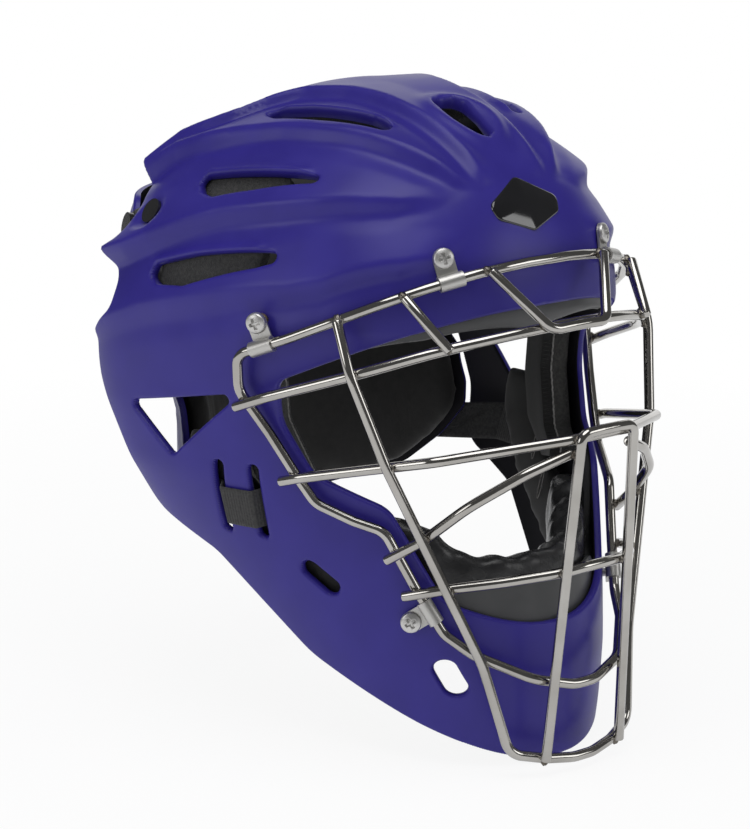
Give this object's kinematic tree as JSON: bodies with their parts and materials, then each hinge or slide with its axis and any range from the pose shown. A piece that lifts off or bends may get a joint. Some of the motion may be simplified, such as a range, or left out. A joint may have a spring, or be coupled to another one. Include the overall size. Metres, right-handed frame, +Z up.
{
  "type": "catcher helmet",
  "caption": "Hockey style catcher helmet with a vented shell, a welded wire face cage, inner pads, a padded chin cup and a rear plate that slides back on elastic straps.",
  "frame": {"origin": "midpoint between the wearer's ears, where the head sits in the pads", "axes": "+Z up to the crown, -Y out of the face opening, +X to the wearer's left"},
  "size_m": [0.2312, 0.2982, 0.2966],
  "materials": {
    "shell_plastic": "matte",
    "badge_plastic": "gloss",
    "wire_steel": "polished dark nickel",
    "clip_steel": "satin",
    "screw_steel": "satin",
    "insert_brass": "plain",
    "foam": "soft matte",
    "vinyl": "smooth satin",
    "leather": "glossy",
    "webbing": "ribbed weave",
    "rivet_plastic": "matte"
  },
  "bodies": {
    "helmet": {"helmet_shell": "shell_plastic", "brow_badge": "badge_plastic", "crown_pad": "foam", "brow_pad": "foam", "chin_panel": "vinyl", "chin_cup": "leather", "cage_perimeter": "wire_steel", "cage_upper_bar": "wire_steel", "cage_lower_bar": "wire_steel", "cage_mouth_bar": "wire_steel", "cage_outer_guard": "wire_steel", "cage_nose_guard": "wire_steel", "cage_brow_bracket": "wire_steel", "cage_diagonal_bar_right": "wire_steel", "cage_diagonal_bar_left": "wire_steel", "cage_brow_strut_right": "wire_steel", "cage_brow_strut_left": "wire_steel", "brow_clip_right": "clip_steel", "brow_clip_left": "clip_steel", "brow_screw_right": "screw_steel", "brow_screw_left": "screw_steel", "brow_insert_right": "insert_brass", "brow_insert_left": "insert_brass", "temple_clip_right": "clip_steel", "temple_clip_left": "clip_steel", "temple_screw_right": "screw_steel", "temple_screw_left": "screw_steel", "temple_insert_right": "insert_brass", "temple_insert_left": "insert_brass", "jaw_clip_right": "clip_steel", "jaw_clip_left": "clip_steel", "jaw_screw_right": "screw_steel", "jaw_screw_left": "screw_steel", "jaw_insert_right": "insert_brass", "jaw_insert_left": "insert_brass", "temple_pad_right": "foam", "temple_pad_left": "foam", "cheek_pad_right": "foam", "cheek_pad_left": "foam", "jaw_pad_right": "foam", "jaw_pad_left": "foam", "lower_strap_right": "webbing", "lower_strap_left": "webbing", "upper_strap_right": "webbing", "upper_strap_left": "webbing", "strap_rivet_right": "rivet_plastic", "strap_rivet_left": "rivet_plastic"},
    "back_plate": {"rear_plate": "shell_plastic", "rear_pad": "foam", "upper_strap_anchor_right": "rivet_plastic", "upper_strap_anchor_left": "rivet_plastic", "lower_strap_anchor_right": "rivet_plastic", "lower_strap_anchor_left": "rivet_plastic"}
  },
  "joints": [
    {"name": "plate_slide", "type": "slide", "parent": "helmet", "child": "back_plate", "axis": [0, 1, 0], "range_m": [0, 0.025], "stiffness_N_per_m": 400, "springref_m": -0.01, "deforming": ["upper_strap_right", "upper_strap_left", "lower_strap_right", "lower_strap_left"]}
  ]
}
